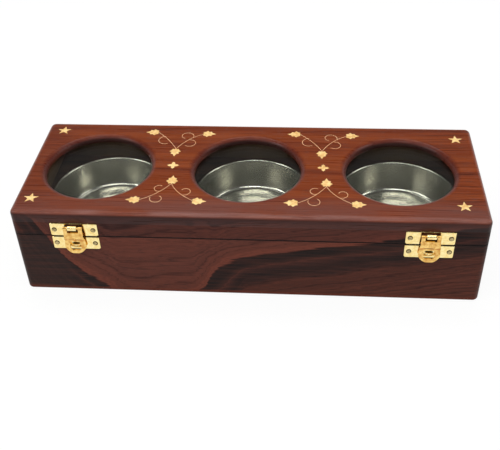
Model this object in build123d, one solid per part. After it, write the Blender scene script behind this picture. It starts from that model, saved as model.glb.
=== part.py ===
from build123d import *
from math import cos, radians, sin
import os

# A wooden dried fruit box. Millimetres, +Z up, X along the box, front at -Y.
# The origin is the middle of the underside, on which the box stands.

# Outside of the box, glued up closed and then sawn apart at the seam
box_length = 304.8
box_height = 66.5
lid_height = 18.5
corner_radius = 4.0
top_edge_radius = 3.0
bottom_edge_radius = 1.6
seam_ease = 0.3

# Boards
wall = 8.0
lid_board = 8.0
bottom_board_thickness = 4.0
bottom_rebate = 4.0

# Windows in the lid
window_radius = 36.0
window_end_margin = 14.2
window_row_x = -2.8
window_edge_radius = 4.0
glass_thickness = 3.0
glass_ledge = 2.4
glass_clearance = 0.2
glass_inset = 0.1

# Bowls
bowl_rim_radius = 41.2
bowl_bead_radius = 1.2
bowl_sheet = 0.7
bowl_height = 22.0
bowl_wall_draft = 4.0
bowl_turn_radius = 3.5
bowl_foot_width = 6.3
bowl_foot_rise = 0.8
bowl_seat_gap = 0.1
bowl_clearance = 0.3
bowl_side_room = 4.8

# Tray that carries the bowls by their rims, and the cleats under it
tray_drop = 6.0
tray_thickness = 6.0
tray_clearance = 0.3
tray_end_web = 4.8
cleat_width = 5.0
cleat_height = 6.0

# Brass inlay let into the top
inlay_depth = 0.8
star_radius = 5.2
star_waist = 2.1
flower_radius = 4.0
flower_shoulder = 3.0
flower_waist = 1.7
flower_y = 1.2
leaf_length = 10.2
leaf_width = 8.0

# Stars, each by its steps in from the nearest end and from the nearest long edge
star_back_left = (12.3, 10.9)
star_front_left = (10.7, 15.2)
star_back_right = (12.0, 15.6)
star_front_right = (15.6, 15.3)

# Leaves of a vine: the step from the line midway between two windows, the step in from the long edge,
# and the way the leaf points
vine_back_leaves = [(-20.6, 11.5, 180), (20.4, 12.7, 0), (-1.0, 37.0, -90)]
vine_front_leaves = [(-20.5, 15.6, 180), (22.4, 15.3, 0), (2.1, 38.2, 90)]

# Latches
latch_left_margin = 40.9
latch_right_margin = 36.9
plate_width = 31.0
plate_height = 10.0
plate_sheet = 0.8
plate_corner = 1.2
plate_gap = 0.9
plate_edge_bevel = 0.3
latch_axis_rise = 8.4
latch_axis_out = 3.0
hasp_bar_radius = 0.8
hasp_bar_clearance = 0.08
hasp_sheet = 0.8
hasp_stand_off = 0.4
hasp_arm_half_width = 6.05
hasp_belly_half_width = 7.0
hasp_belly_drop = 15.7
hasp_length = 20.0
hasp_band_drop = 3.6
hasp_step_drop = 8.2
hasp_step_height = 2.0
hasp_window_drop = 11.4
hasp_window_height = 6.2
hasp_window_half_width = 3.6
hasp_lip_curl = 1.4
hasp_rest_angle = 3.0
bridge_width = 5.7
bridge_side_gap = 0.8
slot_width = 2.9
slot_above_axis = 1.0
slot_below_axis = 4.1
nose_radius = 3.2
nose_sunk = 0.7
nose_sheet = 0.7
nose_below_seam = 5.6

# Hinges
hinge_margin = 56.4
hinge_width = 25.0
hinge_leaf_depth = 7.0
hinge_sheet = 0.8
hinge_pin_radius = 0.8
hinge_pin_clearance = 0.05
hinge_back_gap = 0.2
hinge_knuckles = 5
hinge_knuckle_gap = 0.2
hinge_pocket_clearance = 0.1

# Screws
screw_head_radius = 1.65
screw_head_height = 0.7
screw_shank_radius = 0.7
screw_length = 6.0
screw_hole_clearance = 0.05
latch_screw_spread = 25.4
hinge_screw_head_radius = 1.4
hinge_screw_spread = 15.0
hinge_screw_sunk = 0.1

# Places that follow from the sizes above
half_length = box_length / 2
half_depth = bowl_rim_radius + bowl_side_room + wall
seam_z = box_height - lid_height
lid_board_z = box_height - lid_board
inner_half_length = half_length - wall
inner_half_depth = half_depth - wall
rebate_depth = glass_thickness + glass_inset
ledge_z = lid_board_z + rebate_depth
tray_top_z = seam_z - tray_drop
tray_under_z = tray_top_z - tray_thickness
bowl_mouth_radius = bowl_rim_radius - 2 * bowl_bead_radius
tray_hole_radius = bowl_mouth_radius + bowl_sheet + bowl_clearance
window_pitch = half_length - window_end_margin - window_radius
bowl_pitch = inner_half_length - tray_clearance - tray_end_web - tray_hole_radius
window_xs = [window_row_x + step * window_pitch for step in (-1, 0, 1)]
bowl_xs = [step * bowl_pitch for step in (-1, 0, 1)]
front_y = -half_depth
back_y = half_depth
latch_axis_y = front_y - latch_axis_out
latch_axis_z = seam_z + latch_axis_rise
upper_plate_z = seam_z + (plate_gap + plate_height) / 2
lower_plate_z = seam_z - (plate_gap + plate_height) / 2
knuckle_radius = hinge_pin_radius + hinge_pin_clearance + hinge_sheet
hinge_axis_y = back_y + hinge_back_gap + knuckle_radius
latch_xs = {"left": latch_left_margin - half_length, "right": half_length - latch_right_margin}
hinge_xs = {"left": hinge_margin - half_length, "right": half_length - hinge_margin}
sides = ("left", "middle", "right")


def block(x0, x1, y0, y1, z0, z1):
    """A straight board between two opposite corners."""
    middle = Pos((x0 + x1) / 2, (y0 + y1) / 2, (z0 + z1) / 2)
    return middle * Box(x1 - x0, y1 - y0, z1 - z0)


def rod_x(radius, length, y, z):
    """A round rod along X, centred on x = 0."""
    return Pos(0, y, z) * Rot(0, 90, 0) * Cylinder(radius, length)


def outside_forms():
    """The base and the lid as sanded: round corners and edges, and eased edges at the seam."""
    form = block(-half_length, half_length, front_y, back_y, 0, box_height)
    form = fillet(form.edges().filter_by(Axis.Z), corner_radius)
    form = fillet(form.edges().group_by(Axis.Z)[-1], top_edge_radius)
    form = fillet(form.edges().group_by(Axis.Z)[0], bottom_edge_radius)
    base = form & block(-half_length, half_length, front_y, back_y, 0, seam_z)
    lid = form & block(-half_length, half_length, front_y, back_y, seam_z, box_height)
    base = chamfer(base.faces().sort_by(Axis.Z)[-1].edges(), seam_ease)
    lid = chamfer(lid.faces().sort_by(Axis.Z)[0].edges(), seam_ease)
    return base, lid


def screw(head_radius, head_height, countersunk):
    """A wood screw along -Z with the seat of its head at z = 0."""
    with BuildSketch(Plane.XZ) as profile:
        with BuildLine():
            if countersunk:
                Polyline(
                    (0, 0),
                    (head_radius, 0),
                    (screw_shank_radius, -head_height),
                    (screw_shank_radius, -screw_length),
                    (0, -screw_length - screw_shank_radius),
                    close=True,
                )
            else:
                Line((0, head_height), (0, -screw_length - screw_shank_radius))
                Line((0, -screw_length - screw_shank_radius), (screw_shank_radius, -screw_length))
                Line((screw_shank_radius, -screw_length), (screw_shank_radius, 0))
                Line((screw_shank_radius, 0), (head_radius, 0))
                RadiusArc(
                    (head_radius, 0),
                    (0, head_height),
                    -(head_radius**2 + head_height**2) / (2 * head_height),
                )
        make_face()
    return revolve(profile.sketch, Axis.Z)


def screw_hole(depth):
    """The hole for a screw's shank, from z = 0 down."""
    radius = screw_shank_radius + screw_hole_clearance
    return Pos(0, 0, -depth / 2) * Cylinder(radius, depth)


def latch_screw_places(plate_z, outer_y):
    """Where the two screws of one latch plate go, for each latch."""
    places = []
    for x in latch_xs.values():
        for step in (-0.5, 0.5):
            place = Pos(x + step * latch_screw_spread, outer_y, plate_z)
            places.append(place * Rot(90, 0, 0))
    return places


def latch_screws(plate_z):
    """Round-headed screws that hold a pair of latch plates on the wood."""
    places = latch_screw_places(plate_z, front_y - plate_sheet)
    return [place * screw(screw_head_radius, screw_head_height, False) for place in places]


def latch_screw_holes(plate_z):
    """Holes for those screws, cut from the plates' outer face inwards."""
    depth = screw_length + 2 * screw_shank_radius
    return [place * screw_hole(depth) for place in latch_screw_places(plate_z, front_y - plate_sheet)]


def hinge_screw_places(up):
    """Where a pair of leaves is screwed to the wood; up is 1 on the lid and -1 on the base."""
    y = back_y - hinge_leaf_depth / 2
    places = []
    for x in hinge_xs.values():
        for step in (-0.5, 0.5):
            place = Pos(x + step * hinge_screw_spread, y, seam_z + up * hinge_screw_sunk)
            places.append(place * Rot(180 if up > 0 else 0, 0, 0))
    return places


def hinge_screws(up):
    """Countersunk screws of the two hinges on the lid (up = 1) or the base (up = -1)."""
    head_height = hinge_screw_head_radius - screw_shank_radius
    return [place * screw(hinge_screw_head_radius, head_height, True) for place in hinge_screw_places(up)]


def hinge_screw_holes(up):
    """Holes for the hinge screws' shanks."""
    depth = screw_length + 2 * screw_shank_radius
    return [place * screw_hole(depth) for place in hinge_screw_places(up)]


def hinge_pockets(up):
    """Shallow pockets in the seam that take the hinge leaves."""
    z0, z1 = sorted((seam_z, seam_z + up * hinge_sheet))
    half = hinge_width / 2 + hinge_pocket_clearance
    y0 = back_y - hinge_leaf_depth - hinge_pocket_clearance
    return [block(x - half, x + half, y0, back_y, z0, z1) for x in hinge_xs.values()]


def base_boards(form):
    """The four walls, the bottom in its rebate, and the cleats for the tray."""
    bottom_half_length = inner_half_length + bottom_rebate
    bottom_half_depth = inner_half_depth + bottom_rebate
    bottom = block(
        -bottom_half_length,
        bottom_half_length,
        -bottom_half_depth,
        bottom_half_depth,
        0,
        bottom_board_thickness,
    )
    front = block(-half_length, half_length, front_y, front_y + wall, 0, seam_z) & form
    back = block(-half_length, half_length, back_y - wall, back_y, 0, seam_z) & form
    left = block(-half_length, -inner_half_length, -inner_half_depth, inner_half_depth, 0, seam_z) & form
    right = block(inner_half_length, half_length, -inner_half_depth, inner_half_depth, 0, seam_z) & form
    cleat_z = tray_under_z - cleat_height
    near = inner_half_depth - cleat_width
    return {
        "front_board": front - bottom - latch_screw_holes(lower_plate_z),
        "back_board": back - bottom - hinge_pockets(-1) - hinge_screw_holes(-1),
        "left_end_board": left - bottom,
        "right_end_board": right - bottom,
        "bottom_board": bottom,
        "front_tray_cleat": block(
            -inner_half_length, inner_half_length, -inner_half_depth, -near, cleat_z, tray_under_z
        ),
        "back_tray_cleat": block(
            -inner_half_length, inner_half_length, near, inner_half_depth, cleat_z, tray_under_z
        ),
    }


def bowl_tray():
    """The board with three round holes in which the bowls hang."""
    half_x = inner_half_length - tray_clearance
    half_y = inner_half_depth - tray_clearance
    board = block(-half_x, half_x, -half_y, half_y, tray_under_z, tray_top_z)
    for x in bowl_xs:
        board -= Pos(x, 0, tray_top_z - tray_thickness / 2) * Cylinder(tray_hole_radius, 2 * tray_thickness)
    return board


def bowl():
    """A spun steel bowl: rolled rim, nearly upright wall, round turn, pressed-up floor."""
    rim_z = tray_top_z + bowl_seat_gap + bowl_bead_radius
    floor_z = rim_z + bowl_bead_radius - bowl_height + bowl_sheet
    floor_radius = bowl_mouth_radius - bowl_wall_draft
    raised_radius = floor_radius - bowl_foot_width
    foot_start = (raised_radius + bowl_foot_rise, floor_z)
    raised = Polyline((0, floor_z + bowl_foot_rise), (raised_radius, floor_z + bowl_foot_rise), foot_start)
    side = FilletPolyline(foot_start, (floor_radius, floor_z), (bowl_mouth_radius, rim_z), radius=bowl_turn_radius)
    path = Wire(raised.edges() + side.edges())
    profile = Plane.XZ * make_face(offset(path, amount=bowl_sheet, side=Side.RIGHT))
    shell = revolve(profile, Axis.Z)
    bead = Pos(0, 0, rim_z) * Torus(bowl_rim_radius - bowl_bead_radius, bowl_bead_radius)
    return shell + bead


def rosette(points, reaches, turn):
    """A flat figure with equal points, the first at the angle turn; reaches run from one tip to the next."""
    corners = []
    for index in range(points * len(reaches)):
        reach = reaches[index % len(reaches)]
        angle = radians(turn + 360 * index / (points * len(reaches)))
        corners.append((reach * cos(angle), reach * sin(angle)))
    return make_face(Polyline(*corners, close=True))


def leaf():
    """A small lobed leaf that points along +X, its stem end at -X."""
    reach = leaf_length / 2
    half = leaf_width / 2
    lobes = [(0.45, 0.3), (0.32, 0.72), (0.0, 0.62), (-0.25, 1.0), (-0.5, 0.68), (-0.84, 0.52), (-0.76, 0.14)]
    upper = [(reach * along, half * across) for along, across in lobes]
    lower = [(along, -across) for along, across in reversed(upper)]
    return make_face(Polyline((reach, 0), *upper, (-reach * 0.9, 0), *lower, close=True))


def inlay_outlines():
    """Outlines of the inlaid brass, placed on the top as in the object."""
    star = rosette(5, (star_radius, star_waist), 90)
    flower = rosette(4, (flower_radius, flower_shoulder, flower_waist, flower_shoulder), 0)
    stars = [
        Pos(star_back_left[0] - half_length, half_depth - star_back_left[1]) * star,
        Pos(star_front_left[0] - half_length, star_front_left[1] - half_depth) * star,
        Pos(half_length - star_back_right[0], half_depth - star_back_right[1]) * star,
        Pos(half_length - star_front_right[0], star_front_right[1] - half_depth) * star,
    ]
    leaf_places = [(x, half_depth - step, turn) for x, step, turn in vine_back_leaves]
    leaf_places += [(x, step - half_depth, turn) for x, step, turn in vine_front_leaves]
    vines = []
    for window_x in window_xs[:2]:
        middle = window_x + window_pitch / 2
        pieces = [Pos(middle + x, y) * Rot(0, 0, turn) * leaf() for x, y, turn in leaf_places]
        pieces.append(Pos(middle, flower_y) * flower)
        vines.append(pieces)
    return {"star_inlays": stars, "left_vine_inlay": vines[0], "right_vine_inlay": vines[1]}


def inlays():
    """The inlaid brass pieces, flush with the top of the lid."""
    sunk = Pos(0, 0, box_height - inlay_depth)
    outlines = inlay_outlines()
    return {
        name: [sunk * extrude(face, amount=inlay_depth, dir=(0, 0, 1)) for face in faces]
        for name, faces in outlines.items()
    }


def lid_top_board(form, brass):
    """The top with its three round-edged windows, glass rebates and inlay recesses."""
    board = block(-half_length, half_length, front_y, back_y, lid_board_z, box_height) & form
    for x in window_xs:
        board -= Pos(x, 0, lid_board_z) * Cylinder(window_radius, 4 * lid_board)
    rims = board.edges().filter_by(GeomType.CIRCLE).filter_by(lambda edge: abs(edge.radius - window_radius) < 0.01)
    board = fillet(rims.group_by(Axis.Z)[-1], window_edge_radius)
    for x in window_xs:
        board -= Pos(x, 0, lid_board_z) * Cylinder(window_radius + glass_ledge, 2 * rebate_depth)
    for pieces in brass.values():
        board -= pieces
    return board


def lid_rails(form):
    """The four rails of the lid, sawn from the same boards as the walls below."""
    front = block(-half_length, half_length, front_y, front_y + wall, seam_z, lid_board_z) & form
    back = block(-half_length, half_length, back_y - wall, back_y, seam_z, lid_board_z) & form
    left = block(-half_length, -inner_half_length, -inner_half_depth, inner_half_depth, seam_z, lid_board_z)
    right = block(inner_half_length, half_length, -inner_half_depth, inner_half_depth, seam_z, lid_board_z)
    return {
        "lid_front_rail": front - latch_screw_holes(upper_plate_z),
        "lid_back_rail": back - hinge_pockets(1) - hinge_screw_holes(1),
        "lid_left_rail": left & form,
        "lid_right_rail": right & form,
    }


def window_glass(x):
    """A glass disc glued up into its rebate under the top."""
    disc = Cylinder(window_radius + glass_ledge - glass_clearance, glass_thickness)
    return Pos(x, 0, ledge_z - glass_thickness / 2) * disc


def latch_plate(plate_z):
    """A flat brass plate with round corners, on the front at x = 0."""
    outline = Pos(0, plate_z) * RectangleRounded(plate_width, plate_height, plate_corner)
    plate = Pos(0, front_y, 0) * extrude(Plane.XZ * outline, amount=plate_sheet)
    plate = chamfer(plate.faces().sort_by(Axis.Y)[0].edges(), plate_edge_bevel)
    shank = screw_shank_radius + screw_hole_clearance
    for step in (-0.5, 0.5):
        centre = Pos(step * latch_screw_spread, front_y, plate_z)
        plate -= centre * Rot(90, 0, 0) * Cylinder(shank, 4 * plate_sheet)
    return plate


def hasp_plate():
    """The lid's plate, with a bridge pressed out over the bar of the hasp and a slot each side."""
    plate = latch_plate(upper_plate_z)
    slot_z0 = latch_axis_z - slot_below_axis
    slot_z1 = latch_axis_z + slot_above_axis
    for side in (-1, 1):
        x0, x1 = sorted((side * bridge_width / 2, side * (bridge_width / 2 + slot_width)))
        plate -= block(x0, x1, front_y - plate_sheet, front_y, slot_z0, slot_z1)
    bore = hasp_bar_radius + hasp_bar_clearance
    outer = bore + plate_sheet
    half = bridge_width / 2
    arch = rod_x(outer, bridge_width, latch_axis_y, latch_axis_z)
    legs = block(-half, half, latch_axis_y, front_y - plate_sheet / 2, latch_axis_z - outer, latch_axis_z + outer)
    hollow = block(-half, half, latch_axis_y, front_y - plate_sheet, latch_axis_z - bore, latch_axis_z + bore)
    bridge = arch + legs - rod_x(bore, bridge_width, latch_axis_y, latch_axis_z) - hollow
    return plate + bridge


def catch_plate():
    """The base's plate, with a round nose pressed out that the hasp hooks over."""
    plate = latch_plate(lower_plate_z)
    centre = Pos(0, front_y + nose_sunk, seam_z - nose_below_seam)
    cup = centre * Sphere(nose_radius) - centre * Sphere(nose_radius - nose_sheet)
    inner_y = front_y - plate_sheet / 2
    keep = block(
        -nose_radius,
        nose_radius,
        inner_y - nose_radius,
        inner_y,
        seam_z - nose_below_seam - nose_radius,
        seam_z - nose_below_seam,
    )
    return plate + (cup & keep)


def hasp():
    """The stamped hasp: a bar, two arms, a window for the nose and a curled lip."""
    top = hasp_bar_radius + 0.3
    with BuildSketch(Plane.XZ.offset(0)) as front_view:
        with BuildLine():
            Line((-hasp_arm_half_width, top), (hasp_arm_half_width, top))
            Line((hasp_arm_half_width, top), (hasp_arm_half_width, -hasp_band_drop))
            Line((hasp_arm_half_width, -hasp_band_drop), (hasp_belly_half_width, -hasp_belly_drop))
            ThreePointArc(
                (hasp_belly_half_width, -hasp_belly_drop),
                (0, -hasp_length),
                (-hasp_belly_half_width, -hasp_belly_drop),
            )
            Line((-hasp_belly_half_width, -hasp_belly_drop), (-hasp_arm_half_width, -hasp_band_drop))
            Line((-hasp_arm_half_width, -hasp_band_drop), (-hasp_arm_half_width, top))
        make_face()
    notch_half = bridge_width / 2 + bridge_side_gap
    notch = Pos(0, (top - hasp_band_drop) / 2) * Rectangle(2 * notch_half, top + hasp_band_drop)
    window = Pos(0, -hasp_window_drop - hasp_window_height / 2) * RectangleRounded(
        2 * hasp_window_half_width, hasp_window_height, hasp_window_half_width * 0.45
    )
    outline = front_view.sketch - Plane.XZ * notch - Plane.XZ * window
    proud = hasp_sheet / 2
    inner = latch_axis_out - plate_sheet - hasp_stand_off
    lip_z = -hasp_window_drop - hasp_window_height + hasp_lip_curl
    side_line = FilletPolyline(
        (proud, top),
        (proud, -hasp_step_drop),
        (inner, -hasp_step_drop - hasp_step_height),
        (inner, lip_z),
        (inner - hasp_lip_curl, -hasp_length),
        radius=(hasp_sheet, hasp_sheet, 2 * hasp_sheet),
    )
    side_view = Plane.YZ * make_face(offset(side_line, amount=hasp_sheet, side=Side.RIGHT))
    sheet = extrude(side_view, amount=2 * hasp_belly_half_width, both=True)
    slab = Pos(0, 2 * hasp_length, 0) * extrude(outline, amount=4 * hasp_length)
    bar = Rot(0, 90, 0) * Cylinder(hasp_bar_radius, 2 * hasp_arm_half_width)
    eye_half = hasp_arm_half_width
    eye = Rot(0, 90, 0) * Cylinder(top, 2 * eye_half) & slab
    trim = block(-eye_half, eye_half, -2 * top, 2 * top, 0, 2 * top) - Rot(0, 90, 0) * Cylinder(top, 4 * eye_half)
    turned = Rot(-hasp_rest_angle, 0, 0) * ((sheet & slab) - trim + eye + bar)
    return Pos(0, latch_axis_y, latch_axis_z) * turned


def hinge_leaf(up):
    """One leaf of a butt hinge at x = 0; up is 1 for the lid's leaf and -1 for the base's."""
    z0, z1 = sorted((seam_z, seam_z + up * hinge_sheet))
    half = hinge_width / 2
    leaf_plate = block(-half, half, back_y - hinge_leaf_depth, hinge_axis_y, z0, z1)
    pitch = hinge_width / hinge_knuckles
    first = 0 if up < 0 else 1
    for index in range(hinge_knuckles):
        x0 = -half + index * pitch
        x1 = x0 + pitch
        if index % 2 == first % 2:
            length = pitch - hinge_knuckle_gap
            knuckle = rod_x(knuckle_radius, length, hinge_axis_y, seam_z)
            leaf_plate -= block(x0, x0 + hinge_knuckle_gap / 2, back_y, hinge_axis_y, z0, z1)
            leaf_plate -= block(x1 - hinge_knuckle_gap / 2, x1, back_y, hinge_axis_y, z0, z1)
            leaf_plate += Pos((x0 + x1) / 2, 0, 0) * knuckle
        else:
            leaf_plate -= block(x0, x1, back_y, hinge_axis_y, z0, z1)
    leaf_plate -= rod_x(hinge_pin_radius + hinge_pin_clearance, 2 * hinge_width, hinge_axis_y, seam_z)
    y = back_y - hinge_leaf_depth / 2
    wide = hinge_screw_head_radius + screw_hole_clearance + hinge_screw_sunk
    narrow = max(wide - hinge_sheet, screw_shank_radius + screw_hole_clearance)
    for step in (-0.5, 0.5):
        place = Pos(step * hinge_screw_spread, y, seam_z + up * hinge_screw_sunk)
        turned = place * Rot(180 if up > 0 else 0, 0, 0)
        leaf_plate -= turned * Pos(0, 0, hinge_screw_sunk - hinge_sheet / 2) * Cone(narrow, wide, hinge_sheet)
    return leaf_plate


def hinge_pin():
    """The pin through the knuckles of one hinge."""
    return rod_x(hinge_pin_radius, hinge_width, hinge_axis_y, seam_z)


def all_parts():
    """Every piece of the box by name, each as one solid or a list of solids."""
    base_form, lid_form = outside_forms()
    brass = inlays()
    parts = base_boards(base_form)
    parts["bowl_tray"] = bowl_tray()
    parts["lid_top_board"] = lid_top_board(lid_form, brass)
    parts.update(lid_rails(lid_form))
    parts.update(brass)
    for side, window_x, bowl_x in zip(sides, window_xs, bowl_xs):
        parts[f"{side}_window_glass"] = window_glass(window_x)
        parts[f"{side}_bowl"] = Pos(bowl_x, 0, 0) * bowl()
    for side, x in latch_xs.items():
        parts[f"{side}_hasp_plate"] = Pos(x, 0, 0) * hasp_plate()
        parts[f"{side}_catch_plate"] = Pos(x, 0, 0) * catch_plate()
        parts[f"{side}_hasp"] = Pos(x, 0, 0) * hasp()
    parts["hasp_plate_screws"] = latch_screws(upper_plate_z)
    parts["catch_plate_screws"] = latch_screws(lower_plate_z)
    for side, x in hinge_xs.items():
        parts[f"{side}_hinge_lid_leaf"] = Pos(x, 0, 0) * hinge_leaf(1)
        parts[f"{side}_hinge_base_leaf"] = Pos(x, 0, 0) * hinge_leaf(-1)
        parts[f"{side}_hinge_pin"] = Pos(x, 0, 0) * hinge_pin()
    parts["lid_hinge_screws"] = hinge_screws(1)
    parts["base_hinge_screws"] = hinge_screws(-1)
    return parts


os.makedirs("parts", exist_ok=True)
for name, piece in all_parts().items():
    solids = piece if isinstance(piece, list) else piece.solids()
    shape = solids[0] if len(solids) == 1 else Compound(solids)
    export_step(shape, f"parts/{name}.step")
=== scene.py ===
import math

import bmesh
import bpy
import numpy as np
from mathutils import Matrix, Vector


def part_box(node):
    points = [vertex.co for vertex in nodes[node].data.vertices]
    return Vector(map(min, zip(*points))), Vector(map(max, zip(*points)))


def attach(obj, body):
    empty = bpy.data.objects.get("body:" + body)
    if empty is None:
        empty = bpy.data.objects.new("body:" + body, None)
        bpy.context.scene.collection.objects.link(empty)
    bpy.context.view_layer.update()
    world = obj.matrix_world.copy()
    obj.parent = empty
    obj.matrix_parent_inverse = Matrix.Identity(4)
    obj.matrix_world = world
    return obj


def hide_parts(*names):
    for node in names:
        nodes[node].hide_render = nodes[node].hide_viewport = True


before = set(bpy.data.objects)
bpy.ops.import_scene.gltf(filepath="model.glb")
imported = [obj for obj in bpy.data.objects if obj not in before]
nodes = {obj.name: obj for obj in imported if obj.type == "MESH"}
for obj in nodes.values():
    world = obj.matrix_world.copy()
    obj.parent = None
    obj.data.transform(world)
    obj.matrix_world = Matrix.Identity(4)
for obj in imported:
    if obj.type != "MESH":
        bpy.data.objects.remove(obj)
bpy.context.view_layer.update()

# The camera stands in front of the box, a little to the right of its middle, and looks down on it.
# Its lens, place and turn are those that the photograph was taken with.
camera_place = (0.0391, -0.4436, 0.3759)
camera_yaw = math.radians(-5.36)
camera_pitch = math.radians(38.89)
camera_roll = math.radians(-2.03)
focal_pixels = 799.5
picture_width = 500

camera_data = bpy.data.cameras.new("camera")
camera_data.sensor_width = 36.0
camera_data.lens = focal_pixels / picture_width * camera_data.sensor_width
camera_data.clip_start = 0.01
camera = bpy.data.objects.new("camera", camera_data)
turn = Matrix.Rotation(-camera_yaw, 4, "Z")
turn = turn @ Matrix.Rotation(math.pi / 2 - camera_pitch, 4, "X")
turn = turn @ Matrix.Rotation(camera_roll, 4, "Z")
camera.matrix_world = Matrix.Translation(camera_place) @ turn
bpy.context.scene.collection.objects.link(camera)
bpy.context.scene.camera = camera
bpy.context.scene.view_settings.view_transform = "Standard"


# The box stands on a plain pale sheet. A large soft lamp hangs above and a little behind it, one stands at
# each side, and a long narrow one hangs in front. The sheet and the sky are white to the camera, and the sky
# darkens upwards in metal and glass, as a room does.
def node(tree, kind, inputs=None, **settings):
    """Adds a shader node; inputs gives its sockets, by name or number, a value or a link."""
    made = tree.nodes.new("ShaderNode" + kind)
    for name, value in settings.items():
        setattr(made, name, value)
    for name, value in (inputs or {}).items():
        if isinstance(value, bpy.types.NodeSocket):
            tree.links.new(value, made.inputs[name])
        else:
            made.inputs[name].default_value = value
    return made


def maths(tree, operation, first, second=0.0, third=0.0):
    """One arithmetic step of two or three values or links; returns its output."""
    return node(tree, "Math", {0: first, 1: second, 2: third}, operation=operation).outputs[0]


def between(tree, value, start, end, low=0.0, high=1.0):
    """A smooth step from low to high as the value goes from start to end."""
    inputs = {0: value, 1: start, 2: end, 3: low, 4: high}
    return node(tree, "MapRange", inputs, interpolation_type="SMOOTHSTEP").outputs[0]


floor_white = (0.86, 0.86, 0.85, 1)
floor_reach = 3.0
floor_seen_white = 0.9
floor_z = -0.0003
floor_mesh = bpy.data.meshes.new("floor")
floor_corners = [(x * floor_reach, y * floor_reach, floor_z) for x, y in ((-1, -1), (1, -1), (1, 1), (-1, 1))]
floor_mesh.from_pydata(floor_corners, [], [(0, 1, 2, 3)])
floor = bpy.data.objects.new("floor", floor_mesh)
bpy.context.scene.collection.objects.link(floor)
floor_paper = bpy.data.materials.new("floor_paper")
floor_paper.use_nodes = True
paper_tree = floor_paper.node_tree
paper_shader = paper_tree.nodes["Principled BSDF"]
paper_shader.inputs["Base Color"].default_value = floor_white
paper_shader.inputs["Roughness"].default_value = 0.9
paper_shader.inputs["Specular IOR Level"].default_value = 0.1
path = node(paper_tree, "LightPath")
seen = maths(paper_tree, "ADD", path.outputs["Is Camera Ray"], path.outputs["Is Glossy Ray"])
seen = maths(paper_tree, "ADD", seen, path.outputs["Is Transmission Ray"])
seen = maths(paper_tree, "MINIMUM", maths(paper_tree, "MULTIPLY", seen, floor_seen_white), floor_seen_white)
glow = node(paper_tree, "Emission", {"Color": (1, 1, 1, 1), "Strength": 1.0})
both = node(paper_tree, "MixShader", {0: seen, 1: paper_shader.outputs[0], 2: glow.outputs[0]})
from_below = node(paper_tree, "NewGeometry").outputs["Backfacing"]
clear = node(paper_tree, "BsdfTransparent")
one_sided = node(paper_tree, "MixShader", {0: from_below, 1: both.outputs[0], 2: clear.outputs[0]})
paper_tree.links.new(one_sided.outputs[0], paper_tree.nodes["Material Output"].inputs["Surface"])
floor_mesh.materials.append(floor_paper)

world = bpy.data.worlds.new("studio")
bpy.context.scene.world = world
world.use_nodes = True
sky_tree = world.node_tree
sky_light = 0.50
sky_overhead = 0.10
sky_low_edge, sky_high_edge = 0.20, 0.45
front_fill = 0.7
fill_starts_ahead, fill_full_ahead = -0.30, -0.70
fill_ends_up, fill_full_up = 0.65, 0.35
path = node(sky_tree, "LightPath")
direction = node(sky_tree, "SeparateXYZ", {0: node(sky_tree, "TexCoord").outputs["Generated"]})
ahead, height = direction.outputs[1], direction.outputs[2]
reflected = between(sky_tree, height, sky_low_edge, sky_high_edge, 1.0, sky_overhead)
mirror_ray = maths(sky_tree, "MAXIMUM", path.outputs["Is Glossy Ray"], path.outputs["Is Transmission Ray"])
low_front = between(sky_tree, ahead, fill_starts_ahead, fill_full_ahead)
low_front = maths(sky_tree, "MULTIPLY", low_front, between(sky_tree, height, fill_ends_up, fill_full_up))
diffuse = maths(sky_tree, "MULTIPLY_ADD", low_front, front_fill, sky_light)
lighting = node(sky_tree, "Mix", {0: mirror_ray, 2: diffuse, 3: reflected}).outputs[0]
strength = node(sky_tree, "Mix", {0: path.outputs["Is Camera Ray"], 2: lighting, 3: 1.0}).outputs[0]
sky = sky_tree.nodes["Background"]
sky.inputs["Color"].default_value = (1, 1, 1, 1)
sky_tree.links.new(strength, sky.inputs["Strength"])


def lamp(name, place, aim, width, height, power):
    """A soft rectangular lamp at place, turned towards aim; sizes in metres, power in watts."""
    data = bpy.data.lights.new(name, "AREA")
    data.shape = "RECTANGLE"
    data.size, data.size_y, data.energy = width, height, power
    made = bpy.data.objects.new(name, data)
    made.location = place
    step = np.array(aim) - np.array(place)
    across = math.atan2(step[1], step[0]) - math.pi / 2
    down = math.atan2(step[2], np.hypot(step[0], step[1]))
    made.rotation_euler = (math.pi / 2 + down, 0, across)
    bpy.context.scene.collection.objects.link(made)
    return made


box_middle = (0, 0, 0.05)
lamp("top_softbox", (-0.1, 0.45, 1.4), box_middle, 1.1, 0.5, 7.2)
lamp("left_softbox", (-1.02, -0.47, 0.93), box_middle, 0.7, 0.45, 6.2)
lamp("right_softbox", (1.13, -0.04, 0.93), box_middle, 0.7, 0.45, 4.8)
lamp("front_softbox", (-0.05, -0.68, 1.25), box_middle, 1.1, 0.16, 5.6)


# The walls and the lid's rails are sawn from one dark rosewood board a side, so the figure crosses the seam.
# On the long sides the rings come down from the left, dip under the left window and climb away to the right.
# The wood is oiled and rubbed: dark heart bands, fine ring lines, long fibre and open pores along the grain.
def paint(red, green, blue):
    """A colour given as on a screen, 0 to 255, as linear light."""
    share = np.array([red, green, blue]) / 255
    linear = np.where(share <= 0.04045, share / 12.92, ((share + 0.055) / 1.055) ** 2.4)
    return tuple(float(value) for value in linear)


def placed(tree, vector, scale=(1, 1, 1), location=(0, 0, 0), rotation=(0, 0, 0)):
    """The vector scaled, turned and moved by a Mapping node."""
    inputs = {"Vector": vector, "Scale": scale, "Location": location, "Rotation": rotation}
    return node(tree, "Mapping", inputs).outputs[0]


def noise(tree, vector, scale, detail=2.0):
    """Smooth noise with scale features per metre along each axis."""
    place = placed(tree, vector, scale=scale)
    return node(tree, "TexNoise", {"Vector": place, "Scale": 1.0, "Detail": detail}).outputs[0]


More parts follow.
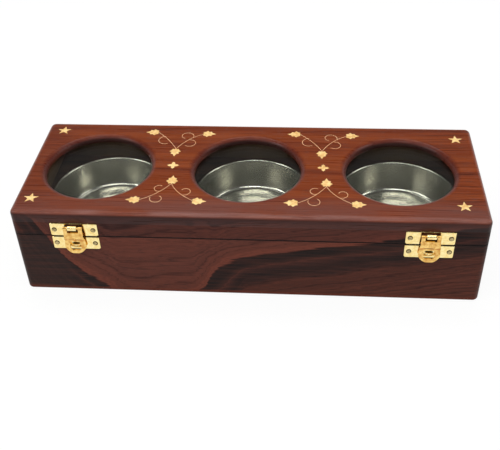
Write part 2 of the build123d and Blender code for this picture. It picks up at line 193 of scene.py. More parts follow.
def wander(tree, vector, scale, width, detail=2.0):
    """Noise that swings half a width to either side of nothing."""
    return maths(tree, "MULTIPLY_ADD", noise(tree, vector, scale, detail), width, -width / 2)


def noise_line(tree, value, per_metre, detail=2.0):
    """Noise along one value, with so many features per metre of it."""
    turns = maths(tree, "MULTIPLY", value, per_metre)
    made = node(tree, "TexNoise", {"W": turns, "Scale": 1.0, "Detail": detail}, noise_dimensions="1D")
    return made.outputs[0]


def ramp(tree, value, stops):
    """A colour ramp on a value; stops are (position, colour)."""
    made = node(tree, "ValToRGB", {0: value})
    keys = made.color_ramp.elements
    while len(keys) < len(stops):
        keys.new(0.5)
    for key, (position, colour) in zip(keys, stops):
        key.position = position
        key.color = (*colour, 1)
    return made.outputs[0]


def mixed(tree, amount, first, second, blend="MIX"):
    """Mixes two colours or links by an amount; returns the colour."""
    made = node(tree, "Mix", {0: amount}, data_type="RGBA", blend_type=blend)
    for socket, value in ((made.inputs[6], first), (made.inputs[7], second)):
        if isinstance(value, bpy.types.NodeSocket):
            tree.links.new(value, socket)
        else:
            socket.default_value = (*value, 1)
    return made.outputs[2]


def drawn_curve(tree, value, points):
    """A smooth curve through points (x, y), in metres, read at the value."""
    xs, ys = np.array(points).T
    low, span = ys.min(), np.ptp(ys)
    share = node(tree, "MapRange", {0: value, 1: float(xs[0]), 2: float(xs[-1]), 3: 0.0, 4: 1.0}).outputs[0]
    curve = node(tree, "FloatCurve", {"Value": share})
    keys = curve.mapping.curves[0].points
    for x, y in points[1:-1]:
        keys.new((x - xs[0]) / (xs[-1] - xs[0]), (y - low) / span)
    keys[0].location = (0.0, (ys[0] - low) / span)
    keys[len(keys) - 1].location = (1.0, (ys[-1] - low) / span)
    curve.mapping.update()
    return maths(tree, "MULTIPLY_ADD", curve.outputs[0], float(span), float(low))


def new_group(name, kind, outputs):
    """A node group that takes a place and gives the named outputs; returns its tree and the place."""
    tree = bpy.data.node_groups.new(name, "ShaderNodeTree")
    tree.interface.new_socket("Place", in_out="INPUT", socket_type="NodeSocketVector")
    for output in outputs:
        tree.interface.new_socket(output, in_out="OUTPUT", socket_type=kind)
    return tree, tree.nodes.new("NodeGroupInput").outputs["Place"]


def make_fine_grain():
    """Grain along X: fibre is long thin noise, pores are short dark dashes; height is both, for a bump."""
    tree, place = new_group("fine_grain", "NodeSocketFloat", ("Fibre", "Pores", "Height"))
    fibre = noise(tree, place, (26, 900, 900), detail=3.0)
    pores = between(tree, noise(tree, place, (150, 2300, 2300), detail=1.0), 0.60, 0.70)
    height = maths(tree, "SUBTRACT", maths(tree, "MULTIPLY", fibre, 0.4), pores)
    out = tree.nodes.new("NodeGroupOutput")
    for name, link in (("Fibre", fibre), ("Pores", pores), ("Height", height)):
        tree.links.new(link, out.inputs[name])
    return tree


fine_grain = make_fine_grain()
front_low, front_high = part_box("front_board")
half_length, half_depth, seam_z = front_high[0], -front_low[1], front_high[2]
wall = front_high[1] - front_low[1]

# One ring as it is drawn on the long sides: (along the box, height), in metres.
drawn_ring = [
    (-0.160, 0.100), (-0.133, 0.050), (-0.115, 0.022), (-0.095, 0.002), (-0.070, -0.018), (-0.045, -0.014),
    (-0.031, 0.002), (-0.022, 0.020), (-0.009, 0.031), (0.027, 0.040), (0.067, 0.046), (0.100, 0.053),
    (0.160, 0.064),
]
# How much the rings above it and below it are opened, along the box: 1 is as drawn, and less spreads them.
spread_above = [
    (-0.160, 1.0), (-0.133, 0.80), (-0.115, 0.55), (-0.093, 0.46), (-0.070, 0.36), (-0.053, 0.36),
    (-0.033, 0.46), (-0.013, 0.90), (0.010, 1.0), (0.160, 1.0),
]
spread_below = [(-0.160, 1.0), (-0.100, 1.0), (-0.033, 0.55), (-0.020, 0.45), (0.000, 0.85), (0.160, 1.0)]
# The wood's tone by the distance across the rings, in metres above the drawn one.
ring_tones = [
    (-0.040, (66, 33, 24)), (-0.024, (60, 30, 22)), (-0.020, (37, 20, 17)), (-0.015, (26, 16, 14)),
    (-0.0115, (40, 22, 19)), (-0.009, (58, 30, 24)), (-0.007, (32, 19, 16)), (-0.004, (21, 13, 12)),
    (-0.0008, (26, 17, 15)), (0.0008, (88, 44, 33)), (0.006, (82, 42, 32)), (0.014, (72, 38, 30)),
    (0.022, (82, 42, 32)), (0.030, (54, 29, 25)), (0.042, (60, 32, 26)), (0.060, (66, 34, 27)),
]
# Where a tone starts and where it is full, in metres: the nearly black heart along the box, across the rings
# and up the wall, the painted floor bounce light up the wall, and the painted shade of the seam to either
# side of it.
heart_along, heart_across = (-0.108, -0.126), (0.001, -0.002)
heart_up = (seam_z + 0.005, seam_z - 0.003)
floor_bounce_light = (0.0042, 0.0020)
seam_shade = (0.0008, 0.0003)
lid_shade_fade = 0.0005


def make_wall_figure():
    """Colour by the distance across the rings: the height over the drawn one, opened along the box."""
    tree, place = new_group("wall_figure", "NodeSocketColor", ("Colour",))
    parts = node(tree, "SeparateXYZ", {0: place})
    along, up = parts.outputs[0], parts.outputs[2]
    over_ring = maths(tree, "SUBTRACT", up, drawn_curve(tree, along, drawn_ring))
    above = maths(tree, "MAXIMUM", over_ring, 0.0)
    above = maths(tree, "MULTIPLY", above, drawn_curve(tree, along, spread_above))
    below = maths(tree, "MINIMUM", over_ring, 0.0)
    below = maths(tree, "MULTIPLY", below, drawn_curve(tree, along, spread_below))
    ring = maths(tree, "ADD", above, below)
    fray = wander(tree, place, (24, 640, 640), 0.0044, detail=3.0)
    drift = wander(tree, place, (14, 40, 40), 0.009)
    ripple = wander(tree, place, (55, 210, 210), 0.0026, detail=3.0)
    for shift in (fray, drift, ripple):
        ring = maths(tree, "ADD", ring, shift)
    lowest, highest = ring_tones[0][0], ring_tones[-1][0]
    share = node(tree, "MapRange", {0: ring, 1: lowest, 2: highest, 3: 0.0, 4: 1.0}).outputs[0]
    stops = [((distance - lowest) / (highest - lowest), paint(*tone)) for distance, tone in ring_tones]
    colour = ramp(tree, share, stops)
    heart = maths(tree, "MULTIPLY", between(tree, along, *heart_along), between(tree, ring, *heart_across))
    heart = maths(tree, "MULTIPLY", heart, between(tree, up, *heart_up, 0.0, 0.9))
    colour = mixed(tree, heart, colour, paint(34, 24, 22))
    lines = noise_line(tree, ring, 520.0, detail=4.0)
    line_tones = [(0.32, (0.50, 0.46, 0.46)), (0.46, (0.92, 0.92, 0.92)), (0.68, (1.34, 1.26, 1.20))]
    colour = mixed(tree, 0.9, colour, ramp(tree, lines, line_tones), "MULTIPLY")
    grain = node(tree, "Group", {"Place": place}, node_tree=fine_grain)
    fibre = between(tree, grain.outputs["Fibre"], 0.35, 0.75, 0.0, 0.22)
    colour = mixed(tree, fibre, colour, paint(92, 48, 36))
    colour = mixed(tree, maths(tree, "MULTIPLY", grain.outputs["Pores"], 0.5), colour, paint(26, 17, 16))
    # Painted light: a warm glow along the wall's lowest edge, as bounced up from the pale floor.
    colour = mixed(tree, between(tree, up, *floor_bounce_light, 0.0, 0.7), colour, paint(86, 36, 22))
    # The lid's rails, above the seam, are darkened a little: a painted shade.
    lid_rail_shade = between(tree, up, seam_z - lid_shade_fade, seam_z + lid_shade_fade)
    colour = mixed(tree, lid_rail_shade, colour, (0.74, 0.74, 0.78), "MULTIPLY")
    # A painted dark shade in the seam, on both sides of where the lid meets the base.
    from_seam = maths(tree, "ABSOLUTE", maths(tree, "SUBTRACT", up, seam_z))
    colour = mixed(tree, between(tree, from_seam, *seam_shade, 0.0, 0.9), colour, paint(20, 12, 11))
    tree.links.new(colour, tree.nodes.new("NodeGroupOutput").inputs["Colour"])
    return tree


wall_figure = make_wall_figure()


def new_finish(name):
    """A material with its Principled shader; returns the material, its tree and the shader."""
    made = bpy.data.materials.new(name)
    made.use_nodes = True
    return made, made.node_tree, made.node_tree.nodes["Principled BSDF"]


fibre_roughness = 0.18


def oiled_wood(name, colour_of, roughness, gloss=0.09, turn_z=0.0, offset=(0, 0, 0)):
    """Oiled wood with grain along X, or turned; colour_of(tree, place) gives its colour."""
    made, tree, shader = new_finish(name)
    place = placed(tree, node(tree, "TexCoord").outputs["Object"], location=offset, rotation=(0, 0, turn_z))
    tree.links.new(colour_of(tree, place), shader.inputs["Base Color"])
    grain = node(tree, "Group", {"Place": place}, node_tree=fine_grain)
    smoothest = roughness - fibre_roughness / 2
    rough = maths(tree, "MULTIPLY_ADD", grain.outputs["Fibre"], fibre_roughness, smoothest)
    tree.links.new(rough, shader.inputs["Roughness"])
    bump = node(tree, "Bump", {"Height": grain.outputs["Height"], "Strength": 0.22, "Distance": 0.0002})
    tree.links.new(bump.outputs[0], shader.inputs["Normal"])
    shader.inputs["Specular IOR Level"].default_value = gloss
    return made


def finish_nodes(names, finish):
    """Gives CAD nodes one material in place of the plain one that they were packed with."""
    for name in names:
        nodes[name].data.materials.clear()
        nodes[name].data.materials.append(finish)


def wall_colour(tree, place):
    """The walls' figure at the place."""
    return node(tree, "Group", {"Place": place}, node_tree=wall_figure).outputs["Colour"]


# How far out from the inner faces the inside's brown starts, and where it is full.
inside_starts, inside_full = 0.0012, 0.0004


def walls_in_and_out(tree, place):
    """The figure outside, and a dull dark brown on the faces towards the inside of the box."""
    parts = node(tree, "SeparateXYZ", {0: node(tree, "TexCoord").outputs["Object"]})
    inside = 1.0
    for axis, half in enumerate((half_length, half_depth)):
        out = maths(tree, "ABSOLUTE", parts.outputs[axis])
        out = maths(tree, "SUBTRACT", out, half - wall)
        inside = maths(tree, "MULTIPLY", between(tree, out, inside_starts, inside_full), inside)
    return mixed(tree, inside, wall_colour(tree, place), paint(80, 64, 48))


quarter_turn = math.pi / 2
wall_wood = oiled_wood("rosewood_wall", walls_in_and_out, 0.42)
end_wood = oiled_wood("rosewood_end", walls_in_and_out, 0.42, turn_z=quarter_turn, offset=(0.09, 0, 0))
finish_nodes(["front_board", "back_board", "lid_front_rail", "lid_back_rail"], wall_wood)
finish_nodes(["left_end_board", "right_end_board", "lid_left_rail", "lid_right_rail"], end_wood)


# The bottom, the tray and its cleats are plainer boards of the same timber, planed and left bare.
# They are seen from below, with the lid open, and as the dark inside under the glass.
def inner_colour(tree, place):
    """Dull brown with soft lengthwise bands."""
    parts = node(tree, "SeparateXYZ", {0: place})
    drift = maths(tree, "MULTIPLY", noise(tree, place, (8, 30, 30)), 0.012)
    band = noise_line(tree, maths(tree, "ADD", parts.outputs[1], drift), 130.0, detail=3.0)
    colour = ramp(tree, band, [(0.3, paint(44, 34, 29)), (0.5, paint(58, 42, 34)), (0.7, paint(70, 49, 39))])
    grain = node(tree, "Group", {"Place": place}, node_tree=fine_grain)
    return mixed(tree, maths(tree, "MULTIPLY", grain.outputs["Pores"], 0.5), colour, paint(24, 18, 15))


inner_wood = oiled_wood("bare_inner_wood", inner_colour, 0.62)
finish_nodes(["bottom_board", "bowl_tray", "front_tray_cleat", "back_tray_cleat"], inner_wood)


# The top of the lid is one board of redder, straight-grained rosewood with three windows turned through it.
# Its flat is rubbed warm and bright, with a painted sheen at the front; the window rims and bores are
# darkened with painted shade.
# The board's edges have the walls' figure below the roundover, with a painted dark red shade just under it.
window_sides = ("left", "middle", "right")
glass_boxes = [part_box(f"{side}_window_glass") for side in window_sides]
glass_middles = [(low[0] + high[0]) / 2 for low, high in glass_boxes]
window_pitch = glass_middles[1] - glass_middles[0]
window_radius = 0.036
top_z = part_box("lid_top_board")[1][2]
# Where each tone starts and where it is full, in metres: from the board's ends and its front edge, from a
# window's bore, from the middle of the board's depth, and below its flat.
end_streaks = (0.0344, 0.0164)
left_end_shade = (0.0344, 0.0064)
right_end_ripple, ripple_stop = (0.0544, 0.0204), (0.0004, 0.0084)
front_painted_sheen = (0.0320, 0.0060)
rim_shade_outside, rim_shade_inside = 0.0062, 0.0018
bore_lit_sides = (0.031, 0.012)
bore_below = (0.0010, 0.0028)
edge_below = (0.0007, 0.0024)
edge_shade_below = (0.0070, 0.0030)
arris_behind_front, arris_below = (0.0048, 0.0034), (0.0018, 0.0007)


def top_flat(tree, place, along, deep):
    """Lengthwise bands, streaks and a ripple near the ends, fibre and pores, and a patchy painted sheen near
    the front.
    """
    from_left = maths(tree, "ADD", along, half_length)
    from_right = maths(tree, "SUBTRACT", half_length, along)
    across = maths(tree, "ADD", deep, wander(tree, place, (9, 34, 34), 0.016))
    colour = ramp(tree, noise_line(tree, across, 120.0, detail=3.0), [
        (0.25, paint(80, 28, 11)), (0.42, paint(101, 40, 13)), (0.55, paint(111, 47, 15)),
        (0.68, paint(117, 53, 18)), (0.80, paint(93, 35, 13)),
    ])
    streaked = maths(tree, "MULTIPLY_ADD", noise(tree, place, (40, 160, 160)), 0.0016, across)
    streak_tones = [(0.32, (0.66, 0.60, 0.60)), (0.5, (1.0, 1.0, 1.0)), (0.72, (1.16, 1.14, 1.10))]
    streaks = ramp(tree, noise_line(tree, streaked, 620.0, detail=3.0), streak_tones)
    near_end = between(tree, maths(tree, "MINIMUM", from_left, from_right), *end_streaks, 0.6, 1.0)
    colour = mixed(tree, near_end, colour, streaks, "MULTIPLY")
    rippled = maths(tree, "MULTIPLY_ADD", noise(tree, place, (70, 70, 70)), 0.004, deep)
    ripple_tones = [(0.40, (0.55, 0.50, 0.50)), (0.52, (1.0, 1.0, 1.0))]
    ripples = ramp(tree, noise_line(tree, rippled, 280.0, detail=1.0), ripple_tones)
    right_end = between(tree, from_right, *right_end_ripple, 0.0, 0.8)
    right_end = maths(tree, "MULTIPLY", right_end, between(tree, from_right, *ripple_stop))
    colour = mixed(tree, right_end, colour, ripples, "MULTIPLY")
    colour = mixed(tree, between(tree, from_left, *left_end_shade, 0.0, 0.55), colour, paint(80, 33, 20))
    grain = node(tree, "Group", {"Place": place}, node_tree=fine_grain)
    fibre = between(tree, grain.outputs["Fibre"], 0.40, 0.75, 0.0, 0.35)
    colour = mixed(tree, fibre, colour, paint(148, 72, 38))
    colour = mixed(tree, maths(tree, "MULTIPLY", grain.outputs["Pores"], 0.4), colour, paint(56, 22, 16))
    # A painted pale sheen near the front of the flat, in patches: the soft lamp behind, reflected.
    patchy = between(tree, noise(tree, place, (16, 60, 60), detail=3.0), 0.25, 0.75, 0.20, 0.80)
    near_front = between(tree, maths(tree, "ADD", deep, half_depth), *front_painted_sheen)
    return mixed(tree, maths(tree, "MULTIPLY", near_front, patchy), colour, paint(98, 60, 53))


def rim_shade_mask(tree, place, along, deep):
    """How far a place takes the rim's painted shade or the bore's: by its distance from the nearest window's
    middle, a little mottled.
    """
    low, high = glass_middles[1] - window_pitch / 2, glass_middles[1] + window_pitch / 2
    from_window = maths(tree, "SUBTRACT", maths(tree, "WRAP", along, low, high), glass_middles[1])
    flat = node(tree, "CombineXYZ", {0: from_window, 1: deep}).outputs[0]
    radius = node(tree, "VectorMath", {0: flat}, operation="LENGTH").outputs["Value"]
    mottled = maths(tree, "MULTIPLY_ADD", noise(tree, place, (160, 160, 160), detail=3.0), 0.003, radius)
    return between(tree, mottled, window_radius + rim_shade_outside, window_radius + rim_shade_inside, 0.0, 0.85)


def top_colour(tree, place):
    """The flat, the window rims and bores with painted shade, the board's edges with painted shade under the
    roundover, and a painted highlight along the front arris.
    """
    parts = node(tree, "SeparateXYZ", {0: place})
    along, deep, up = parts.outputs[0], parts.outputs[1], parts.outputs[2]
    below = maths(tree, "SUBTRACT", top_z, up)
    rim = rim_shade_mask(tree, place, along, deep)
    # The rims round the windows get a painted dark red shade.
    colour = mixed(tree, rim, top_flat(tree, place, along, deep), paint(72, 24, 18))
    # The bores get painted shade: nearly black at their back and front, lit brown at their left and right
    # sides.
    bore_lit_side = between(tree, maths(tree, "ABSOLUTE", deep), *bore_lit_sides)
    bore = mixed(tree, bore_lit_side, paint(17, 5, 4), paint(84, 34, 22))
    colour = mixed(tree, maths(tree, "MULTIPLY", rim, between(tree, below, *bore_below)), colour, bore)
    # Below the roundover the edges get a painted dark red shade, deepest just under it.
    edge = maths(tree, "MULTIPLY", maths(tree, "SUBTRACT", 1.0, rim), between(tree, below, *edge_below))
    edge_shade = between(tree, below, *edge_shade_below, 0.25, 0.75)
    colour = mixed(tree, edge, colour, mixed(tree, edge_shade, wall_colour(tree, place), paint(44, 14, 8)))
    # A painted pale highlight along the front arris, in patches.
    arris = between(tree, maths(tree, "ADD", deep, half_depth), *arris_behind_front)
    arris = maths(tree, "MULTIPLY", arris, between(tree, below, *arris_below))
    arris_highlight = between(tree, noise(tree, place, (45, 200, 200), detail=3.0), 0.30, 0.70, 0.0, 0.30)
    return mixed(tree, maths(tree, "MULTIPLY", arris, arris_highlight), colour, paint(138, 102, 96))


top_wood = oiled_wood("rosewood_top", top_colour, 0.30, gloss=0.2)
finish_nodes(["lid_top_board"], top_wood)


# Each window has a disc of clear glass, cut to sit in the rebate under the top.
# Light that falls on it passes on to the bowl.
def glass_finish():
    """Clear glass that lets lamp light through without a dark shadow."""
    made, tree, shader = new_finish("window_glass")
    shader.inputs["Base Color"].default_value = (0.95, 0.96, 0.93, 1)
    shader.inputs["Roughness"].default_value = 0.0
    shader.inputs["IOR"].default_value = 1.45
    shader.inputs["Transmission Weight"].default_value = 1.0
    path = node(tree, "LightPath")
    clear = node(tree, "BsdfTransparent", {"Color": (0.90, 0.93, 0.90, 1)})
    through = maths(tree, "MAXIMUM", path.outputs["Is Shadow Ray"], path.outputs["Is Diffuse Ray"])
    both = node(tree, "MixShader", {0: through, 1: shader.outputs[0], 2: clear.outputs[0]})
    tree.links.new(both.outputs[0], tree.nodes["Material Output"].inputs["Surface"])
    return made


finish_nodes([f"{side}_window_glass" for side in window_sides], glass_finish())


# The bowls are spun from thin stainless sheet: a rolled rim, a tapered wall, a round turn and a floor pressed
# up a little inside a narrow foot. Each is one closed profile, inside, round the rim and back underneath,
# turned about the bowl's own axis. Spinning leaves fine rings in the polish.
def bowl_finish(name, centre_x):
    """Polished steel with fine rings round the bowl's own axis."""
    made, tree, shader = new_finish(name)
    place = node(tree, "TexCoord").outputs["Object"]
    centred = placed(tree, place, scale=(1, 1, 0), location=(-centre_x, 0, 0))
    radius = node(tree, "VectorMath", {0: centred}, operation="LENGTH").outputs["Value"]
    rings = noise_line(tree, radius, 900.0)
    cloud = noise(tree, place, (60, 60, 60), detail=3.0)
    colour = ramp(tree, cloud, [(0.35, (0.50, 0.49, 0.44)), (0.65, (0.58, 0.57, 0.51))])
    tree.links.new(colour, shader.inputs["Base Color"])
    shader.inputs["Metallic"].default_value = 1.0
    rough = maths(tree, "MULTIPLY_ADD", rings, 0.04, 0.22)
    tree.links.new(rough, shader.inputs["Roughness"])
    return made


bowl_segments = 160
bowl_bead = 0.0012
bowl_sheet = 0.0007
bowl_taper = 0.0040
bowl_turn = 0.0035
bowl_foot_width = 0.0055
bowl_dish_radius = 0.020
bowl_foot_rise = 0.0008
rim_curl = math.radians(125)
dish_steps, floor_steps, turn_steps, wall_steps, rim_steps = 4, 14, 12, 8, 26


def arc(centre, radius, angles):
    """Points of a circle round the centre, at the angles."""
    return np.column_stack([centre[0] + radius * np.cos(angles), centre[1] + radius * np.sin(angles)])


def bowl_profile(low, high):
    """The closed section as (radius, z): a straight wall, circles for the turn and the rim, and a floor that
    falls by a smooth step from the dish to the foot. It runs up inside, over the rim and back underneath."""
    rim_z = high[2] - bowl_bead
    inner_z = low[2] + bowl_sheet
    mouth = (high[0] - low[0]) / 2 - 2 * bowl_bead
    floor_radius = mouth - bowl_taper
    draft = math.atan2(bowl_taper, rim_z - inner_z)
    tangent = bowl_turn * math.tan((math.pi / 2 - draft) / 2)
    turn_middle = (floor_radius - tangent, inner_z + bowl_turn)
    turn_angles = np.linspace(-math.pi / 2, -draft, turn_steps)
    foot = floor_radius - bowl_foot_width
    dish = np.linspace(0.25, 1, dish_steps) * bowl_dish_radius
    across = np.concatenate([[0.0], dish, np.linspace(bowl_dish_radius, foot, floor_steps)[1:]])
    fall = (across.clip(bowl_dish_radius) - bowl_dish_radius) / (foot - bowl_dish_radius)
    floor_line = np.column_stack([across, inner_z + bowl_foot_rise * (1 - fall * fall * (3 - 2 * fall))])
    inner_turn = arc(turn_middle, bowl_turn, turn_angles)
    up = np.linspace(0.15, 1, wall_steps)[:, None]
    inner_wall = inner_turn[-1] + up * (np.array([mouth, rim_z]) - inner_turn[-1])
    rim = arc((mouth + bowl_bead, rim_z), bowl_bead, np.linspace(math.pi, -rim_curl, rim_steps)[1:])
    outer_turn = arc(turn_middle, bowl_turn + bowl_sheet, turn_angles)[::-1]
    outer_wall = rim[-1] + up[:-1] * (outer_turn[0] - rim[-1])
    under = floor_line[::-1] - np.array([0, bowl_sheet])
    return np.concatenate([floor_line, inner_turn, inner_wall, rim, outer_wall, outer_turn, under])


def turned_surface(profile, centre_x, segments):
    """Turns a profile about the upright axis at centre_x; its first and last points are the poles."""
    angle = np.linspace(0, 2 * math.pi, segments, endpoint=False)
    radius, height = profile[1:-1, :1], profile[1:-1, 1:]
    level = np.repeat(height, segments, axis=1)
    rings = np.stack([centre_x + radius * np.cos(angle), radius * np.sin(angle), level], axis=2)
    poles = np.array([[centre_x, 0, profile[0, 1]], [centre_x, 0, profile[-1, 1]]])
    count = len(radius)
    index = np.arange(segments)
    after = (index + 1) % segments
    starts = np.arange(count - 1)[:, None] * segments
    corners = [starts + index, starts + after, starts + after + segments, starts + index + segments]
    quads = np.stack(corners, axis=2).reshape(-1, 4)
    last_row = (count - 1) * segments
    first_fan = np.column_stack([np.full(segments, count * segments), after, index])
    last_fan = np.column_stack([np.full(segments, count * segments + 1), last_row + index, last_row + after])
    faces = quads.tolist() + first_fan.tolist() + last_fan.tolist()
    return np.concatenate([rings.reshape(-1, 3), poles]), faces


weld_distance = 2e-6


def mesh_piece(name, points, faces, finish, body, smooth=False):
    """One object, welded, with its faces turned outwards, riding on a body."""
    mesh = bpy.data.meshes.new(name)
    mesh.from_pydata(points.tolist(), [], faces)
    work = bmesh.new()
    work.from_mesh(mesh)
    bmesh.ops.remove_doubles(work, verts=work.verts, dist=weld_distance)
    bmesh.ops.dissolve_degenerate(work, edges=work.edges, dist=weld_distance)
    bmesh.ops.recalc_face_normals(work, faces=work.faces)
    work.to_mesh(mesh)
    work.free()
    mesh.polygons.foreach_set("use_smooth", [smooth] * len(mesh.polygons))
    mesh.materials.append(finish)
    made = bpy.data.objects.new(name, mesh)
    bpy.context.scene.collection.objects.link(made)
    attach(made, body)
    return made


for side in ("left", "middle", "right"):
    low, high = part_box(f"{side}_bowl")
    middle_x = (low[0] + high[0]) / 2
    points, faces = turned_surface(bowl_profile(low, high), middle_x, bowl_segments)
    steel = bowl_finish(f"{side}_bowl_steel", middle_x)
    spun = mesh_piece(f"{side}_spun_bowl", points, faces, steel, f"{side}_bowl", smooth=True)
    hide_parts(f"{side}_bowl")


# The latches are stamped from thin sheet brass and polished bright, with small clouds left by handling.
# The hasps are a little redder than their plates, and the hinges are of the same sheet, left satin.
scratch_roughness = 0.06


def brass_finish(name, pale, deep, roughness, metallic=1.0):
    """Brass whose colour and polish vary a little in soft clouds and fine scratches."""
    made, tree, shader = new_finish(name)
    place = node(tree, "TexCoord").outputs["Object"]
    cloud = noise(tree, place, (400, 400, 400), detail=4.0)
    scratch = noise(tree, place, (300, 3000, 3000))
    tree.links.new(ramp(tree, cloud, [(0.35, deep), (0.65, pale)]), shader.inputs["Base Color"])
    shader.inputs["Metallic"].default_value = metallic
    rough = maths(tree, "MULTIPLY_ADD", scratch, scratch_roughness, roughness)
    tree.links.new(rough, shader.inputs["Roughness"])
    bump = node(tree, "Bump", {"Height": cloud, "Strength": 0.12, "Distance": 0.0001})
    tree.links.new(bump.outputs[0], shader.inputs["Normal"])
    return made


latch_brass = brass_finish("latch_brass", (1.0, 0.85, 0.43), (0.92, 0.68, 0.26), 0.10)
latch_parts = ("hasp_plate", "catch_plate")
finish_nodes([f"{side}_{part}" for side in ("left", "right") for part in latch_parts], latch_brass)
hasp_brass = brass_finish("hasp_brass", (0.93, 0.64, 0.22), (0.64, 0.33, 0.08), 0.12)
finish_nodes(["left_hasp", "right_hasp"], hasp_brass)
hinge_brass = brass_finish("hinge_brass", (0.80, 0.60, 0.28), (0.66, 0.46, 0.18), 0.28)
hinge_parts = ("hinge_lid_leaf", "hinge_base_leaf", "hinge_pin")
finish_nodes([f"{side}_{part}" for side in ("left", "right") for part in hinge_parts], hinge_brass)


# Small round-headed brass screws with a sawn slot hold the latch plates; a painted dark shade lies in a ring
# round each head's edge. Flat-headed ones hold the hinges, hidden in the seam. All are duller than the sheet.
screw_brass = brass_finish("screw_brass", (0.60, 0.48, 0.24), (0.36, 0.28, 0.13), 0.30)


def head_finish():
    """The screws' brass with a painted dark shade in a ring round each head's edge; reach says how far out a
    point lies, 0 to 1.
    """
    made = screw_brass.copy()
    made.name = "screw_head_brass"
    tree = made.node_tree
    socket = tree.nodes["Principled BSDF"].inputs["Base Color"]
    reach = node(tree, "Attribute", attribute_name="reach").outputs["Fac"]
    # A painted dark shade in a ring round the edge of each head.
    head_edge_shade = mixed(tree, between(tree, reach, 0.62, 0.86), socket.links[0].from_socket, (0.07, 0.045, 0.02))
    tree.links.new(head_edge_shade, socket)
    return made


head_brass = head_finish()
finish_nodes(["lid_hinge_screws", "base_hinge_screws"], screw_brass)
latch_screw_radius = 0.00165
latch_screw_dome = 0.0007
dome_fall = 0.75
dome_least = 0.00005
slot_half_width = 0.00022
slot_depth = 0.00045
flank_rows, dome_columns = 7, 15
plate_sheet = 0.0008
plate_face_y = -half_depth - plate_sheet
screw_spread = 0.0254


def slotted_head(x, z, angle):
    """A dome whose height falls with the square of the distance from its middle, less the slot's depth in the
    slot; each row across the slot is a closed loop, over the dome and back along the plate."""
    flank = np.linspace(latch_screw_radius, slot_half_width, flank_rows)
    across = np.concatenate([-flank, [-slot_half_width, slot_half_width], flank[::-1]])
    sunk = np.concatenate([np.zeros(flank_rows), [slot_depth, slot_depth], np.zeros(flank_rows)])
    chord = np.sqrt(np.maximum(latch_screw_radius**2 - across**2, 0))
    top_x = np.repeat(across[:, None], dome_columns, axis=1)
    top_y = chord[:, None] * np.linspace(-1, 1, dome_columns)
    fall = dome_fall * (top_x**2 + top_y**2) / latch_screw_radius**2
    rise = np.maximum(latch_screw_dome * (1 - fall) - sunk[:, None], dome_least)
    u = np.concatenate([top_x, top_x[:, ::-1]], axis=1)
    v = np.concatenate([top_y, top_y[:, ::-1]], axis=1)
    w = np.concatenate([rise, np.zeros_like(rise)], axis=1)
    turned_u = u * math.cos(angle) - v * math.sin(angle)
    turned_v = u * math.sin(angle) + v * math.cos(angle)
    grid = np.stack([x + turned_u, plate_face_y - w, z + turned_v], axis=2)
    rows, loop = grid.shape[:2]
    starts = np.arange(rows - 1)[:, None] * loop
    first = starts + np.arange(loop)
    beside = starts + (np.arange(loop) + 1) % loop
    faces = np.stack([first, beside, beside + loop, first + loop], axis=2).reshape(-1, 4)
    return grid.reshape(-1, 3), faces


def joined(parts):
    """Several surfaces, each points and faces, as one."""
    starts = np.cumsum([0] + [len(points) for points, faces in parts[:-1]])
    faces = np.concatenate([group + start for (points, group), start in zip(parts, starts)])
    return np.concatenate([points for points, faces in parts]), faces.tolist()


slot_angles = iter(np.radians([35, -50, 70, 15, -25, 60, -70, 40]))
for plate, body in (("hasp_plate", "lid"), ("catch_plate", "base")):
    plates = [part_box(f"{side}_{plate}") for side in ("left", "right")]
    row_z = (plates[0][0][2] + plates[0][1][2]) / 2
    screw_xs = [(low[0] + high[0]) / 2 + step * screw_spread for low, high in plates for step in (-0.5, 0.5)]
    points, faces = joined([slotted_head(x, row_z, next(slot_angles)) for x in screw_xs])
    screws = mesh_piece(f"{plate}_screw_heads", points, faces, head_brass, body)
    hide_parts(f"{plate}_screws")
    places = np.array([vertex.co for vertex in screws.data.vertices])
    aside = np.abs(places[:, :1] - np.array(screw_xs)).min(axis=1)
    out = np.hypot(aside, places[:, 2] - row_z) / latch_screw_radius
    reach = screws.data.attributes.new("reach", "FLOAT", "POINT")
    reach.data.foreach_set("value", out)


# Stars, leaves and flowers of brass sheet are hammered into cut pockets and sanded flush with the wood.
# Fine brass wire joins the leaves of each vine and curls beside the stems, hammered into sawn lines.
# The wires' places are in millimetres from the middle between two windows.
inlay_brass = brass_finish("inlay_brass", paint(250, 216, 150), paint(224, 176, 104), 0.40, metallic=0.25)
finish_nodes(["star_inlays", "left_vine_inlay", "right_vine_inlay"], inlay_brass)
wire_width = 0.00026
wire_rise = 0.00001
wire_steps = 24
curl_steps = 28
millimetre = 0.001


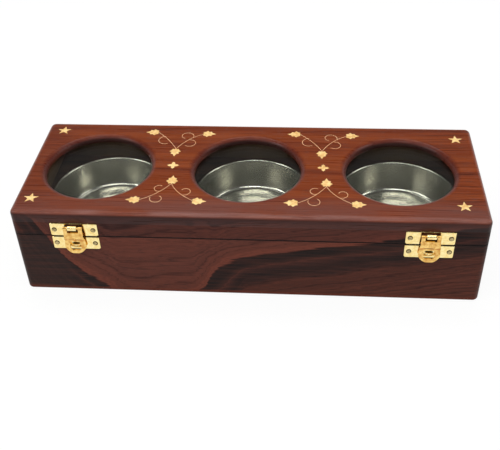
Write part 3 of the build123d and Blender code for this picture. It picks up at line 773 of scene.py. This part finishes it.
def ribbon(path):
    """A flat ribbon: the path's points moved half a width to either side of its direction."""
    step = np.gradient(path, axis=0)
    length = np.linalg.norm(step, axis=1)[:, None]
    side = np.stack([-step[:, 1], step[:, 0]], axis=1) / length * wire_width / 2
    both = np.concatenate([path - side, path + side])
    count = len(path)
    index = np.arange(count - 1)
    faces = np.stack([index, index + 1, index + 1 + count, index + count], axis=1)
    return np.column_stack([both, np.full(len(both), top_z + wire_rise)]), faces


def stem(start, bend, end):
    """A parabola from the middle leaf at start to an outer one at end, pulled towards bend."""
    t = np.linspace(0, 1, wire_steps)[:, None]
    return (1 - t) ** 2 * np.array(start) + 2 * t * (1 - t) * np.array(bend) + t**2 * np.array(end)


def curl(x, y, first, last, near, far):
    """A spiral round (x, y) from a stem: first to last degrees, while the radius goes from near to far."""
    angle = np.radians(np.linspace(first, last, curl_steps))
    radius = np.linspace(near, far, curl_steps)
    return np.stack([x + radius * np.cos(angle), y + radius * np.sin(angle)], axis=1)


stems = [
    stem((-0.9, 21.2), (-5.9, 32.3), (-16.2, 42.2)),
    stem((-0.9, 21.2), (5.6, 35.5), (16.2, 40.6)),
    stem((1.8, -20.4), (-5.6, -32.6), (-16.2, -38.2)),
    stem((2.2, -20.4), (6.6, -31.0), (18.2, -38.0)),
]
curls = [
    curl(-9.8, 31.8, 95, 300, 5.6, 4.0),
    curl(4.9, 38.0, -25, 250, 5.0, 3.2),
    curl(7.8, 29.0, 95, -130, 4.2, 4.2),
    curl(-5.2, -25.4, -80, -300, 3.6, 3.0),
    curl(-5.7, -36.8, 160, 420, 4.2, 3.4),
    curl(12.2, -28.3, -110, 150, 4.2, 2.6),
]
wire_brass = brass_finish("wire_brass", paint(255, 214, 168), paint(236, 184, 134), 0.42, metallic=0.1)
for side, first, second in (("left", 0, 1), ("right", 1, 2)):
    middle = np.array([(glass_middles[first] + glass_middles[second]) / 2, 0.0])
    points, faces = joined([ribbon(middle + path * millimetre) for path in stems + curls])
    mesh_piece(f"{side}_vine_wire", points, faces, wire_brass, "lid")
